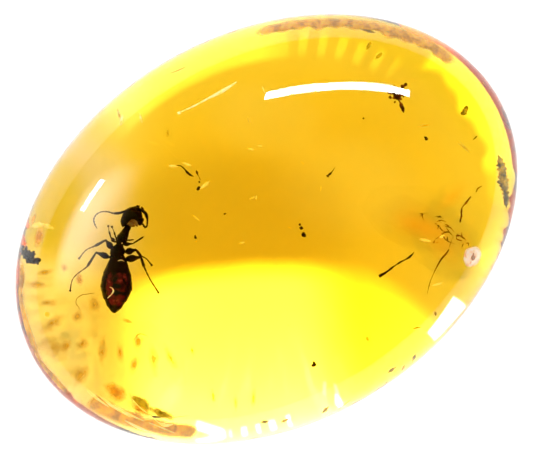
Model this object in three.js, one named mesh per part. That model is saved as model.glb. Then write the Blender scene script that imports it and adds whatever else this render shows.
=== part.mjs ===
// A polished piece of amber: an oval cabochon that lies on its flat underside.
// Millimetres. +Z is up, +X runs along the oval's long axis, and the origin is
// the middle of the flat underside. The insect and the litter sealed in the stone
// are surface detail on a finer scale than this solid, so it is one solid piece.

import * as THREE from 'three';
import { mergeVertices } from 'three/addons/utils/BufferGeometryUtils.js';

// Driving dimensions.
const length = 24.0; // long axis of the oval outline, at the girdle
const width = 17.6; // short axis of the oval outline, at the girdle
const height = 7.6; // underside to the crown of the dome
const girdleHeight = 2.5; // the widest line, above the underside
const flatShare = 0.74; // size of the flat underside, as a share of the outline

// How round the two curves are: 2 is an ellipse, more is fuller at the shoulder.
const domeFullness = 2.12;
const bellyFullness = 2.0;

// Fineness of the facets.
const segmentsAround = 112;
const domeSteps = 24;
const bellySteps = 6;

const amberMaterial = new THREE.MeshStandardMaterial({
  name: 'amber',
  color: 0xe8b014,
  roughness: 0.05,
  metalness: 0.0,
});

// A quarter of a superellipse from (1, 0) at turn 0 to (0, 1) at a quarter turn.
function quarterCurve(turn, fullness) {
  return {
    across: Math.cos(turn) ** (2 / fullness),
    up: Math.sin(turn) ** (2 / fullness),
  };
}

// Half of the stone's section, from the middle of the underside out to the girdle
// and over the dome to the crown. Radii are for the long axis of the oval.
function stoneProfile() {
  const outerRadius = length / 2;
  const flatRadius = outerRadius * flatShare;
  const profile = [new THREE.Vector2(0, 0)];
  for (let step = 0; step < bellySteps; step += 1) {
    const turn = (Math.PI / 2) * (1 - step / bellySteps);
    const curve = quarterCurve(turn, bellyFullness);
    profile.push(new THREE.Vector2(
      flatRadius + (outerRadius - flatRadius) * curve.across,
      girdleHeight * (1 - curve.up),
    ));
  }
  for (let step = 0; step < domeSteps; step += 1) {
    const curve = quarterCurve((Math.PI / 2) * (step / domeSteps), domeFullness);
    profile.push(new THREE.Vector2(
      outerRadius * curve.across,
      girdleHeight + (height - girdleHeight) * curve.up,
    ));
  }
  profile.push(new THREE.Vector2(0, height));
  return profile;
}

// The section is turned round +Z and drawn in across the short axis to an oval.
function makeAmber() {
  const turned = new THREE.LatheGeometry(stoneProfile(), segmentsAround);
  turned.rotateX(Math.PI / 2);
  turned.scale(1, width / length, 1);
  turned.deleteAttribute('normal');
  turned.deleteAttribute('uv');
  const stone = mergeVertices(turned, 1e-4);
  stone.computeVertexNormals();
  const amber = new THREE.Mesh(stone, amberMaterial);
  amber.name = 'amber';
  return amber;
}

const insectInAmber = new THREE.Group();
insectInAmber.add(makeAmber());

export default insectInAmber;
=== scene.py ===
import bpy
import numpy as np
from mathutils import Matrix, Vector


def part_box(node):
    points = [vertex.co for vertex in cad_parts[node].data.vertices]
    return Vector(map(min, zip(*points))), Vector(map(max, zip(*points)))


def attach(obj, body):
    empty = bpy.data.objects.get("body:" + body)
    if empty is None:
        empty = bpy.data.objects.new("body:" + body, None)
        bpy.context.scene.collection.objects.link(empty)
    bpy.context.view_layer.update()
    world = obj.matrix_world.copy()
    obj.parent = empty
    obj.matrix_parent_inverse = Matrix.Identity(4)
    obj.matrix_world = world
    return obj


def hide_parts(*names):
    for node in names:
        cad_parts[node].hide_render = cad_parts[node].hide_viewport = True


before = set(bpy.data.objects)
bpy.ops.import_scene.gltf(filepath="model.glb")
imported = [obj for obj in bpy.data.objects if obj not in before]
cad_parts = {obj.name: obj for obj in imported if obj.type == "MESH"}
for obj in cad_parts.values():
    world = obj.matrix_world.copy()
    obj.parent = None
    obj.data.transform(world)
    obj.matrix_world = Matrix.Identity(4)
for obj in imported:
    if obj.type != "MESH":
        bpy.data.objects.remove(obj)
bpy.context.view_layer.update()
scene = bpy.context.scene
mm = 0.001

# The stone lies with its long axis turned by lieAngle, as the eye straight above it sees it.
# Places in the stone are written (right, away, up) in mm: right and away as that eye finds
# them through the dome, up from the flat underside.
lieAngle = np.radians(29.5)
toRight = np.array([np.cos(lieAngle), -np.sin(lieAngle), 0.0])
toAway = np.array([np.sin(lieAngle), np.cos(lieAngle), 0.0])

lowCorner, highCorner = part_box("amber")
stone = {
    "halfLength": (highCorner.x - lowCorner.x) / 2 / mm,
    "halfWidth": (highCorner.y - lowCorner.y) / 2 / mm,
    "height": (highCorner.z - lowCorner.z) / mm,
    "girdleHeight": 2.5,
    "flatShare": 0.74,          # the flat underside, as a share of the outline
    "domeFullness": 2.12,       # 2 is an ellipse, more is fuller at the shoulder
    "bellyFullness": 2.0,
    "refraction": 1.54,
    "around": 480,
    "domeRings": 96,
    "bellyRings": 60,
    "flatRings": 24,
    "eyeHeight": 200.0,
}
stone["domeRise"] = stone["height"] - stone["girdleHeight"]


def unit(vectors):
    # each vector divided by its length
    return vectors / np.maximum(np.linalg.norm(vectors, axis=-1, keepdims=True), 1e-12)


def smoothStep(low, high, value):
    # 0 below low, 1 above high, and 3t^2 - 2t^3 between
    t = np.clip((value - low) / (high - low), 0, 1)
    return t * t * (3 - 2 * t)


def ripple(points, scale, strength, seed, waves=14):
    # a sum of sines along seeded directions, each with a wavelength near the scale
    dice = np.random.default_rng(seed)
    ways = unit(dice.normal(size=(waves, 3))) / (scale * dice.uniform(0.6, 1.6, (waves, 1)))
    phases = dice.uniform(0, 2 * np.pi, waves)
    return strength * np.sin(points @ ways.T * 2 * np.pi + phases).mean(axis=-1) * 2


def gridNormals(grid):
    # cross product of the steps along both directions of a grid that is closed around
    down = np.gradient(grid, axis=0)
    sideways = np.roll(grid, -1, axis=1) - np.roll(grid, 1, axis=1)
    return unit(np.cross(down, sideways))


def roundGrid(grid):
    # rings of points from pole to pole, each pole drawn into one point, as points and faces
    rings, around = grid.shape[:2]
    points = np.concatenate([grid[:1, 0], grid[1:-1].reshape(-1, 3), grid[-1:, 0]])
    i = np.arange(rings - 3)[:, None]
    j = np.arange(around)[None]
    k = (j + 1) % around
    upper = 1 + i * around
    quads = np.stack([upper + j, upper + around + j, upper + around + k, upper + k], axis=-1)
    j, k = j[0], k[0]
    lastRing = 1 + (rings - 3) * around
    crown = np.stack([0 * j, 1 + j, 1 + k, 1 + k], axis=-1)
    foot = np.stack([0 * j + len(points) - 1, lastRing + k, lastRing + j, lastRing + j], axis=-1)
    return points, np.concatenate([quads.reshape(-1, 4), crown, foot])


def joined(parts):
    # several forms as one list of points and one of faces, each form's faces moved past the last
    starts = np.cumsum([0] + [len(points) for points, _ in parts[:-1]])
    points = np.concatenate([points for points, _ in parts])
    faces = np.concatenate([faces + start for (_, faces), start in zip(parts, starts)])
    return points, faces


def smoothPath(corners, steps):
    # a Hermite curve through the corners with slopes from their neighbours, at even steps
    corners = np.asarray(corners, float)
    along = np.concatenate([[0], np.cumsum(np.linalg.norm(np.diff(corners, axis=0), axis=1))])
    slopes = np.gradient(corners, along, axis=0)
    at = np.linspace(0, along[-1], steps)
    i = np.clip(np.searchsorted(along, at, side="right") - 1, 0, len(corners) - 2)
    span = (along[i + 1] - along[i])[:, None]
    t = (at[:, None] - along[i][:, None]) / span
    return ((2 * t**3 - 3 * t**2 + 1) * corners[i] + (t**3 - 2 * t**2 + t) * span * slopes[i]
            + (3 * t**2 - 2 * t**3) * corners[i + 1] + (t**3 - t**2) * span * slopes[i + 1])


def spread(values, steps):
    # values given at even steps along a form, drawn out smoothly to a number of steps
    values = np.asarray(values, float)
    column = smoothPath(np.stack([np.arange(len(values)), values, 0 * values], axis=-1), steps * 4)
    return np.interp(np.linspace(0, len(values) - 1, steps), column[:, 0], column[:, 1])


def pipe(path, wide, high=None, sides=14, lump=0.0, seed=1):
    # an oval section carried along a path: path + wide cos(turn) side + high sin(turn) top,
    # where side is level and square to the path; both ends draw in to a point
    path = np.asarray(path, float)
    wide = np.broadcast_to(wide, len(path)).astype(float)
    high = wide if high is None else np.broadcast_to(high, len(path)).astype(float)
    ahead = unit(np.gradient(path, axis=0))
    side = unit(np.cross(ahead, [0.013, 0.021, 1.0]))
    top = np.cross(side, ahead)
    turn = np.linspace(0, 2 * np.pi, sides, endpoint=False)[None, :, None]
    grid = path[:, None] + (np.cos(turn) * side[:, None] * wide[:, None, None]
                            + np.sin(turn) * top[:, None] * high[:, None, None])
    if lump:
        grid += (grid - path[:, None]) * ripple(grid, np.ptp(path, axis=0).max() / 4, lump, seed)[..., None]
    grid = np.concatenate([path[:1, None] + 0 * grid[:1], grid, path[-1:, None] + 0 * grid[:1]])
    return roundGrid(grid)


def blob(middle, radii, axes=None, rings=18, sides=24, lump=0.0, seed=1):
    # a ball with three radii along three axes, its surface moved in and out by a ripple
    fall = np.linspace(0, np.pi, rings)[:, None]
    turn = np.linspace(0, 2 * np.pi, sides, endpoint=False)[None]
    ball = np.stack([np.sin(fall) * np.cos(turn), np.sin(fall) * np.sin(turn),
                     np.cos(fall) + 0 * turn], axis=-1)
    if lump:
        ball = ball * (1 + ripple(ball, 1.3, lump, seed))[..., None]
    axes = np.eye(3) if axes is None else np.asarray(axes, float)
    points, faces = roundGrid(ball * np.asarray(radii, float) @ axes + np.asarray(middle, float))
    return points, faces


def lensAxes(along, lean=0.0):
    # three square axes with the first one along a level direction and the last one leaning over
    first = unit(np.array([along[0], along[1], along[2] if len(along) > 2 else 0.0]))
    last = unit(np.cross(first, np.cross([0, 0, 1.0], first)) + 1e-9)
    second = np.cross(last, first)
    return np.stack([first, np.cos(lean) * second + np.sin(lean) * last,
                     -np.sin(lean) * second + np.cos(lean) * last])


def domeNormal(x, y, z):
    # the slope of (share of the outline)^p + (share of the rise)^p
    p = stone["domeFullness"]
    share = np.sqrt((x / stone["halfLength"]) ** 2 + (y / stone["halfWidth"]) ** 2) + 1e-9
    rise = np.clip((z - stone["girdleHeight"]) / stone["domeRise"], 1e-6, None)
    return unit(np.stack([
        share ** (p - 2) * x / stone["halfLength"] ** 2,
        share ** (p - 2) * y / stone["halfWidth"] ** 2,
        rise ** (p - 1) / stone["domeRise"],
    ], axis=-1))


def domeTop(x, y):
    # height of the dome: girdle + rise (1 - share^p)^(1/p)
    p = stone["domeFullness"]
    share = np.sqrt((x / stone["halfLength"]) ** 2 + (y / stone["halfWidth"]) ** 2)
    return stone["girdleHeight"] + stone["domeRise"] * np.clip(1 - share**p, 0, None) ** (1 / p)


def throughDome(places):
    # the line of sight to each place meets the dome, is bent there by Snell's law, and goes on
    # down to the place's own height; the result is the true place in the stone's frame, in mm
    places = np.atleast_2d(np.asarray(places, float))
    eye = np.array([0, 0, stone["eyeHeight"]])
    goal = places[:, :1] * toRight + places[:, 1:2] * toAway + [0, 0, stone["girdleHeight"]]
    sight = unit(goal - eye)
    reach = np.linalg.norm(goal - eye, axis=1)
    near, far = reach - stone["height"], reach
    for _ in range(40):
        middle = (near + far) / 2
        at = eye + sight * middle[:, None]
        above = at[:, 2] > domeTop(at[:, 0], at[:, 1])
        near, far = np.where(above, middle, near), np.where(above, far, middle)
    at = eye + sight * near[:, None]
    normal = domeNormal(at[:, 0], at[:, 1], at[:, 2])
    ratio = 1 / stone["refraction"]
    facing = -np.sum(sight * normal, axis=1, keepdims=True)
    bent = ratio * sight + (ratio * facing - np.sqrt(1 - ratio**2 * (1 - facing**2))) * normal
    return at + bent * ((places[:, 2:3] - at[:, 2:3]) / bent[:, 2:3])


def makePiece(name, form, paint, values=None):
    # one named mesh at the origin, with its points in metres, riding on the stone
    points, faces = form
    mesh = bpy.data.meshes.new(name)
    triangles = faces[faces[:, 2] == faces[:, 3]][:, :3]
    quads = faces[faces[:, 2] != faces[:, 3]]
    mesh.from_pydata((points * mm).tolist(), [], quads.tolist() + triangles.tolist())
    mesh.polygons.foreach_set("use_smooth", np.ones(len(mesh.polygons), bool))
    for label, numbers in (values or {}).items():
        mesh.attributes.new(label, "FLOAT", "POINT").data.foreach_set(
            "value", np.asarray(numbers, np.float32))
    mesh.materials.append(paint)
    piece = bpy.data.objects.new(name, mesh)
    scene.collection.objects.link(piece)
    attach(piece, "root")
    return piece


class Value:
    # a socket that adds Math nodes when it is used in a sum
    def __init__(self, paint, socket):
        self.paint = paint
        self.socket = socket

    def math(self, operation, first, second=None, third=None):
        # one Math node on up to three terms
        terms = {i: term for i, term in enumerate((first, second, third)) if term is not None}
        return self.paint.node("ShaderNodeMath", {"operation": operation}, terms)

    def __add__(self, other):
        return self.math("ADD", self, other)

    def __radd__(self, other):
        return self.math("ADD", other, self)

    def __sub__(self, other):
        return self.math("SUBTRACT", self, other)

    def __rsub__(self, other):
        return self.math("SUBTRACT", other, self)

    def __mul__(self, other):
        return self.math("MULTIPLY", self, other)

    def __rmul__(self, other):
        return self.math("MULTIPLY", other, self)

    def __truediv__(self, other):
        return self.math("DIVIDE", self, other)

    def __rtruediv__(self, other):
        return self.math("DIVIDE", other, self)

    def __neg__(self):
        return self.math("MULTIPLY", self, -1.0)

    def __pow__(self, other):
        return self.math("POWER", self, other)

    def ease(self, low, high):
        # 0 below low, 1 above high, smooth between
        return self.paint.node("ShaderNodeMapRange", {"interpolation_type": "SMOOTHSTEP"},
                               {"Value": self, "From Min": low, "From Max": high})


class Paint:
    # one material, or one lamp's shader, and the nodes in it
    def __init__(self, name, lamp=None):
        self.owner = lamp or bpy.data.materials.new(name)
        self.owner.use_nodes = True
        self.tree = self.owner.node_tree
        self.tree.nodes.clear()

    def node(self, kind, settings=None, inputs=None, output=0):
        # a node of any kind: its settings first, then the values or links of its sockets
        made = self.tree.nodes.new(kind)
        for key, value in (settings or {}).items():
            setattr(made, key, value)
        for key, value in (inputs or {}).items():
            if isinstance(value, Value):
                self.tree.links.new(value.socket, made.inputs[key])
            else:
                made.inputs[key].default_value = value
        return Value(self, made.outputs[output]) if len(made.outputs) else None

    def attribute(self, label):
        # a number kept at each point of the mesh
        return self.node("ShaderNodeAttribute", {"attribute_name": label}, None, "Fac")

    def noise(self, perMm, detail=3.0, roughness=0.5, stretch=(1, 1, 1)):
        # noise on Object coordinates, with so many lumps to a millimetre
        place = self.node("ShaderNodeTexCoord", None, None, "Object")
        place = self.node("ShaderNodeMapping", None, {"Vector": place, "Scale": stretch})
        return self.node("ShaderNodeTexNoise", None, {
            "Vector": place, "Scale": perMm / mm, "Detail": detail, "Roughness": roughness})

    def mix(self, share, first, second):
        # first times (1 - share) plus second times share, as colours
        made = self.tree.nodes.new("ShaderNodeMix")
        made.data_type = "RGBA"
        for key, value in ((0, share), (6, first), (7, second)):
            if isinstance(value, Value):
                self.tree.links.new(value.socket, made.inputs[key])
            else:
                made.inputs[key].default_value = value
        return Value(self, made.outputs[2])

    def bump(self, height, strength, distance):
        # tips the normal down the slope of height, over a distance in mm
        return self.node("ShaderNodeBump", None, {
            "Height": height, "Strength": strength, "Distance": distance * mm})

    def finish(self, shell, body=None):
        # the surface, and the volume where there is one, go to the output
        ends = {"Surface": shell} if body is None else {"Surface": shell, "Volume": body}
        self.node("ShaderNodeOutputMaterial", None, ends)
        return self.owner


amberLook = {
    "tint": (0.954, 0.846, 0.0, 1.0),
    "densityPerMetre": 650.0,
    "polish": 0.0,
    "waviness": 0.004,          # mm, left by hand polishing
    "chips": 84,
    "chipDepth": 0.035,          # mm
}


def amberPaint():
    # clear skin that bends light, and a body that dims each colour by exp(-absorption x depth)
    paint = Paint("amber")
    shell = paint.node("ShaderNodeBsdfPrincipled", None, {
        "Base Color": (1, 1, 1, 1), "Roughness": amberLook["polish"],
        "IOR": stone["refraction"], "Transmission Weight": 1.0})
    body = paint.node("ShaderNodeVolumeAbsorption", None, {
        "Color": amberLook["tint"], "Density": amberLook["densityPerMetre"]})
    return paint.finish(shell, body)


def quarterCurve(turn, fullness):
    # a quarter superellipse: cosine and sine of the turn, each to the power 2 / fullness
    return (np.clip(np.cos(turn), 0, 1) ** (2 / fullness),
            np.clip(np.sin(turn), 0, 1) ** (2 / fullness))


def stoneGrid():
    # share of the outline and height from crown to girdle to underside, turned round an oval
    across, up = quarterCurve(np.linspace(np.pi / 2, 0, stone["domeRings"]), stone["domeFullness"])
    share = [across]
    height = [stone["girdleHeight"] + stone["domeRise"] * up]
    across, up = quarterCurve(np.linspace(0, np.pi / 2, stone["bellyRings"])[1:], stone["bellyFullness"])
    share.append(stone["flatShare"] + (1 - stone["flatShare"]) * across)
    height.append(stone["girdleHeight"] * (1 - up))
    share.append(np.linspace(stone["flatShare"], 0, stone["flatRings"])[1:])
    height.append(0 * share[-1])
    share, height = np.concatenate(share)[:, None], np.concatenate(height)[:, None]
    turn = np.linspace(0, 2 * np.pi, stone["around"], endpoint=False)[None]
    grid = np.stack([stone["halfLength"] * share * np.cos(turn),
                     stone["halfWidth"] * share * np.sin(turn), height + 0 * turn], axis=-1)
    normals = gridNormals(grid)
    normals[0] = (0, 0, 1)
    normals[-1] = (0, 0, -1)
    # the polish is not quite even, and the underside's edge has shallow long chips
    depth = ripple(grid, 2.2, amberLook["waviness"], 5, 24)
    depth[0] = depth[0, 0]
    dice = np.random.default_rng(12)
    middles = dice.uniform(0, 2 * np.pi, amberLook["chips"])
    shares = dice.uniform(0.70, 0.93, amberLook["chips"])
    broad = dice.uniform(0.012, 0.03, amberLook["chips"])
    long = dice.uniform(0.02, 0.06, amberLook["chips"])
    away = (turn[..., None] - middles + np.pi) % (2 * np.pi) - np.pi
    pit = np.exp(-((away / broad) ** 2) - ((share[..., None] - shares) / long) ** 2).max(axis=-1)
    under = smoothStep(stone["girdleHeight"] * 0.9, stone["girdleHeight"] * 0.5, height)
    depth = depth * smoothStep(0.0, 0.3, height) - amberLook["chipDepth"] * pit * under
    return grid + normals * depth[..., None]


amber = makePiece("amberStone", roundGrid(stoneGrid()), amberPaint())
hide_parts("amber")
print("the stone is cut:", len(amber.data.polygons), "faces")


def chitinPaint(name, dark, light, shine, speck=9.0):
    # dark chitin mottled with a lighter brown, with fine pits and a thin clear coat
    paint = Paint(name)
    cloud = paint.noise(2.2, 4.0).ease(0.42, 0.72)
    tone = paint.mix(cloud * paint.attribute("thin").ease(-0.4, 1.0), dark, light)
    pits = paint.noise(speck, 2.0)
    return paint.finish(paint.node("ShaderNodeBsdfPrincipled", None, {
        "Base Color": tone, "Roughness": cloud * 0.2 + shine, "IOR": 1.25, "Coat Weight": 0.1,
        "Normal": paint.bump(pits, 0.35, 0.012)}))


antHeight = 4.5     # mm from the underside to the middle of the ant


def antPlace(places):
    # places written (right, away, up from the middle of the ant), as true places
    places = np.array(places, float)
    places[:, 2] += antHeight
    return throughDome(places)


def thinness(form, value):
    # the same thinness at every point, as an attribute
    return {"thin": np.full(len(form[0]), value)}


def antBody(path, wide, high, steps=60, sides=32, lump=0.04, seed=3):
    # a pipe along a smooth path with its width and height given at even steps
    return pipe(smoothPath(antPlace(path), steps), spread(wide, steps), spread(high, steps), sides,
                lump, seed)


darkChitin = chitinPaint("darkChitin", (0.004, 0.002, 0.002, 1), (0.020, 0.006, 0.004, 1), 0.22)
brownChitin = chitinPaint("brownChitin", (0.006, 0.003, 0.002, 1), (0.08, 0.026, 0.008, 1), 0.28)

head = {
    "path": [(-6.06, 0.20, -0.02), (-6.06, 0.30, 0.02), (-6.02, 0.48, 0.06), (-5.94, 0.64, 0.06),
             (-5.83, 0.80, 0.02), (-5.72, 0.93, -0.04)],
    "wide": [0.05, 0.30, 0.45, 0.46, 0.37, 0.25, 0.12],
    "high": [0.05, 0.24, 0.33, 0.34, 0.28, 0.18, 0.08],
    "cheek": 0.30,      # how far the back corners fall behind the neck
}


def antHead():
    # a pipe from neck to jaws whose back corners swell out and fall back behind the neck
    points, faces = antBody(head["path"], head["wide"], head["high"], 56, 40, 0.02, 8)
    back, front = antPlace([head["path"][0], head["path"][-1]])
    ahead = unit(front - back)
    side = unit(np.cross(ahead, [0, 0, 1.0]))
    along = (points - back) @ ahead
    across = (points - back) @ side
    behind = smoothStep(0.55, 0.0, along)
    lobe = smoothStep(0.14, 0.36, np.abs(across))
    points = points - ahead * (head["cheek"] * behind * lobe)[:, None]
    points = points - [0, 0, 1.0] * (0.12 * behind * smoothStep(0.26, 0.0, np.abs(across)))[:, None]
    brow = (np.exp(-((np.abs(across) - 0.09) / 0.03) ** 2)
            * smoothStep(0.45, 0.65, along) * (points[:, 2] > back[2]))
    points[:, 2] += 0.035 * brow
    return (points, faces), ahead, side


headForm, ahead, side = antHead()
makePiece("antHead", headForm, darkChitin, thinness(headForm, 0.3))


def eyeForm(sign):
    # an egg set into the side of the head
    middle = antPlace([(-5.98, 0.58, 0.10)])[0] + side * sign * 0.41
    axes = np.stack([ahead, side * sign, [0, 0, 1.0]])
    return blob(middle, (0.11, 0.06, 0.095), axes, 28, 36)


def facetPaint():
    # an eye of small domed facets
    paint = Paint("eyeFacets")
    place = paint.node("ShaderNodeTexCoord", None, None, "Object")
    cells = paint.node("ShaderNodeTexVoronoi", {"feature": "F1"},
                       {"Vector": place, "Scale": 60 / mm}, "Distance")
    tone = paint.mix(cells.ease(0.2, 0.6), (0.035, 0.018, 0.014, 1), (0.006, 0.003, 0.003, 1))
    return paint.finish(paint.node("ShaderNodeBsdfPrincipled", None, {
        "Base Color": tone, "Roughness": 0.18, "IOR": 1.25, "Coat Weight": 0.2,
        "Normal": paint.bump(1 - cells, 0.8, 0.008)}))


eyes = joined([eyeForm(1), eyeForm(-1)])
makePiece("antEyes", eyes, facetPaint())


def jawForm(sign):
    # a jaw sweeps out and back in to the middle, with teeth along its inner edge
    root = antPlace([(-5.74, 0.86, -0.06)])[0] + side * sign * 0.12
    bow = np.array([[0, 0, 0], [0.05, 0.03 * sign, -0.01], [0.10, 0.015 * sign, -0.02],
                    [0.13, -0.04 * sign, -0.02], [0.14, -0.10 * sign, -0.015]])
    path = root + bow[:, :1] * ahead + bow[:, 1:2] * side + bow[:, 2:] * [0, 0, 1.0]
    blade = pipe(smoothPath(path, 22), spread([0.055, 0.05, 0.045, 0.035, 0.008], 22),
                 spread([0.05, 0.04, 0.03, 0.022, 0.006], 22), 12)
    teeth = [pipe(smoothPath([path[3] + ahead * (0.03 * k - 0.03), path[3] + ahead * (0.03 * k - 0.02)
                              - side * sign * 0.028, path[3] + ahead * (0.03 * k - 0.012)
                              - side * sign * 0.05], 6), spread([0.013, 0.010, 0.003], 6), None, 6)
             for k in range(3)]
    return joined([blade] + teeth)


jaws = joined([jawForm(1), jawForm(-1)])
makePiece("antJaws", jaws, brownChitin, thinness(jaws, 0.6))

neck = joined([
    pipe(smoothPath(antPlace([(-6.30, 0.20, 0.20), (-6.20, 0.36, 0.26), (-6.04, 0.40, 0.28),
                              (-5.90, 0.30, 0.26),
                              (-5.82, 0.12, 0.18)]), 40), spread([0.03, 0.085, 0.10, 0.09, 0.03], 40),
         spread([0.03, 0.06, 0.07, 0.06, 0.03], 40), 16, 0.08, 6),
    blob(antPlace([(-6.10, 0.24, 0.10)])[0], (0.20, 0.12, 0.12), np.stack([side, ahead, [0, 0, 1.0]]),
         20, 28, 0.05, 6)])


def neckGlintPaint():
    # a pale patch behind the head, brown towards its edges: its paleness is a painted glint, and emission
    # makes it glow faintly
    paint = Paint("neckGlint")
    cloud = paint.noise(5.0, 3.0)
    tone = paint.mix(cloud.ease(0.35, 0.65), (0.14, 0.055, 0.018, 1), (0.36, 0.26, 0.19, 1))
    return paint.finish(paint.node("ShaderNodeBsdfPrincipled", None, {
        "Base Color": tone, "Roughness": 0.35, "Coat Weight": 0.4,
        "Emission Color": tone, "Emission Strength": 0.12, "Normal": paint.bump(cloud, 0.3, 0.01)}))


makePiece("antNeck", neck, neckGlintPaint())

feeler = {
    "leftScape": [(-6.22, 0.88, 0.10), (-6.38, 0.80, 0.13), (-6.62, 0.72, 0.15), (-6.88, 0.70, 0.12)],
    "leftLash": [(-6.88, 0.70, 0.12), (-7.18, 0.78, 0.10), (-7.46, 0.77, 0.06), (-7.66, 0.66, 0.02),
                 (-7.78, 0.44, -0.02), (-7.74, 0.22, -0.06), (-7.63, 0.02, -0.10)],
    "rightScape": [(-5.68, 0.88, 0.10), (-5.55, 0.80, 0.12), (-5.44, 0.68, 0.10), (-5.37, 0.50, 0.04)],
    "rightLash": [(-5.37, 0.50, 0.04), (-5.37, 0.30, -0.02), (-5.40, 0.12, -0.10), (-5.47, 0.08, -0.16),
                  (-5.56, 0.20, -0.20), (-5.68, 0.38, -0.22)],
    "joints": 11,
}


def beads(count, steps, depth):
    # a radius that pinches in at each joint: 1 - depth |cos|^8 of half turns along the lash
    return 1 - depth * np.abs(np.cos(np.linspace(0, count * np.pi, steps))) ** 8


def feelerForm(scape, lash, thick):
    # socket, plain first joint, then a lash that narrows at each of its joints
    base = spread([0.030, 0.042, 0.046, 0.050, 0.036], 30) * thick
    first = pipe(smoothPath(antPlace(scape), 30), base, None, 12)
    steps = feeler["joints"] * 12
    taper = spread([0.036, 0.030, 0.027, 0.026, 0.029, 0.033, 0.030, 0.012], steps)
    rest = pipe(smoothPath(antPlace(lash), steps), taper * thick * beads(feeler["joints"], steps, 0.4),
                None, 12)
    socket = blob(antPlace([scape[0]])[0], (0.055, 0.055, 0.05), None, 12, 16)
    return joined([socket, first, rest])


for name, thick in (("left", 1.15), ("right", 1.45)):
    form = feelerForm(feeler[name + "Scape"], feeler[name + "Lash"], thick)
    makePiece("antFeeler" + name.title(), form, brownChitin, thinness(form, 0.9))

trunk = {
    "path": [(-6.22, 0.22, 0.02), (-6.26, 0.08, 0.03), (-6.33, -0.08, 0.05), (-6.40, -0.24, 0.06),
             (-6.50, -0.42, 0.05), (-6.60, -0.60, 0.03), (-6.63, -0.76, 0.02), (-6.68, -0.92, 0.03),
             (-6.73, -1.10, 0.02), (-6.73, -1.28, -0.04)],
    "wide": [0.10, 0.14, 0.15, 0.17, 0.20, 0.24, 0.21, 0.15, 0.19, 0.27, 0.31, 0.29, 0.18],
    "high": [0.08, 0.12, 0.15, 0.20, 0.23, 0.23, 0.19, 0.15, 0.20, 0.25, 0.26, 0.20, 0.10],
}
trunkForm = antBody(trunk["path"], trunk["wide"], trunk["high"], 120, 40, 0.10, 21)
makePiece("antTrunk", trunkForm, darkChitin, thinness(trunkForm, 0.5))

waist = antBody([(-6.70, -1.20, -0.02), (-6.70, -1.27, 0.10), (-6.70, -1.34, 0.02)],
                [0.09, 0.15, 0.16, 0.10], [0.08, 0.20, 0.22, 0.09], 26, 24, 0.04, 9)
makePiece("antWaist", waist, darkChitin, thinness(waist, 0.2))

gaster = {
    "path": [(-6.66, -1.30, 0.00), (-6.70, -1.68, 0.04), (-6.73, -2.10, 0.06), (-6.76, -2.52, 0.06),
             (-6.80, -2.95, 0.02), (-6.84, -3.38, -0.05), (-6.87, -3.80, -0.14)],
    "wide": [0.33, 0.43, 0.51, 0.59, 0.65, 0.68, 0.68, 0.62, 0.53, 0.41, 0.29, 0.17],
    "high": [0.22, 0.36, 0.44, 0.50, 0.54, 0.56, 0.54, 0.50, 0.43, 0.34, 0.25, 0.15],
    "plates": [0.30, 0.56, 0.76, 0.90],   # hind edges of the plates, as shares of the length
    "lip": 0.022,
}


def gasterForm():
    # an oval section along the belly; each plate ends in a lip that stands over the next one
    steps, sides = 150, 72
    share = np.linspace(0, 1, steps)
    rounding = np.sqrt(1 - np.clip(share, 0, 1) ** 18)
    wide, high = spread(gaster["wide"], steps) * rounding, spread(gaster["high"], steps) * rounding
    lip = np.zeros(steps)
    for edge in gaster["plates"]:
        lip += gaster["lip"] * smoothStep(edge - 0.10, edge, share) * (share < edge)
    path = smoothPath(antPlace(gaster["path"]), steps)
    points, faces = pipe(path, wide * (1 - 0.01) + lip, high + lip, sides, 0.015, 31)
    # how much painted red glow a point has: a patch along the back, ragged, that stops short of the dark
    # sides
    ahead = unit(path[-1] - path[0])
    side = unit(np.cross(ahead, [0, 0, 1.0]))
    along = ((points - path[0]) @ ahead) / np.linalg.norm(path[-1] - path[0])
    across = ((points - path[0]) @ side) / np.interp(along, share, np.maximum(wide, 0.02))
    cloud = ripple(points, 0.5, 0.5, 77)
    # two dark saddles part the red glow into three, and a paler patch of painted glow lies on the left of
    # the first
    saddles = (np.exp(-((along - 0.50) / 0.05) ** 2 - ((across - 0.05) / 0.35) ** 2)
               + 0.7 * np.exp(-((along - 0.62) / 0.035) ** 2))
    red = (smoothStep(0.88, 0.55, np.abs(across)) * smoothStep(0.20, 0.32, along)
           * smoothStep(0.92, 0.80, along) * np.clip(0.85 + cloud - saddles * 0.8, 0, 1.2))
    glow = (np.exp(-((along - 0.34) / 0.10) ** 2 - ((across + 0.32) / 0.36) ** 2)
            + 0.8 * np.exp(-((along - 0.78) / 0.07) ** 2 - (across / 0.35) ** 2)
            + 0.8 * np.exp(-((along - 0.42) / 0.04) ** 2 - ((across - 0.55) / 0.12) ** 2))
    return (points, faces), red, glow


def gasterPaint():
    # glossy black plates; the dark red light in them and the paler reddish-brown patches are painted light,
    # made to glow by emission
    paint = Paint("gasterPlates")
    grain = paint.noise(3.5, 4.0)
    red = (paint.attribute("red") * (grain.ease(0.25, 0.65) * 0.8 + 0.3)).ease(0.15, 0.9)
    pale = (paint.attribute("glow") * grain.ease(0.35, 0.6)).ease(0.15, 0.8)
    tone = paint.mix(red, (0.004, 0.002, 0.003, 1), (0.120, 0.005, 0.014, 1))
    tone = paint.mix(pale, tone, (0.26, 0.042, 0.050, 1))
    rings = paint.noise(12.0, 2.0, 0.5, (1, 1, 1))
    return paint.finish(paint.node("ShaderNodeBsdfPrincipled", None, {
        "Base Color": tone, "Roughness": grain * 0.12 + 0.12, "IOR": 1.25, "Coat Weight": 0.2,
        "Emission Color": tone, "Emission Strength": 0.5, "Normal": paint.bump(rings, 0.15, 0.01)}))


form, red, glow = gasterForm()
makePiece("antGaster", form, gasterPaint(), {"red": red, "glow": glow})

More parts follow.
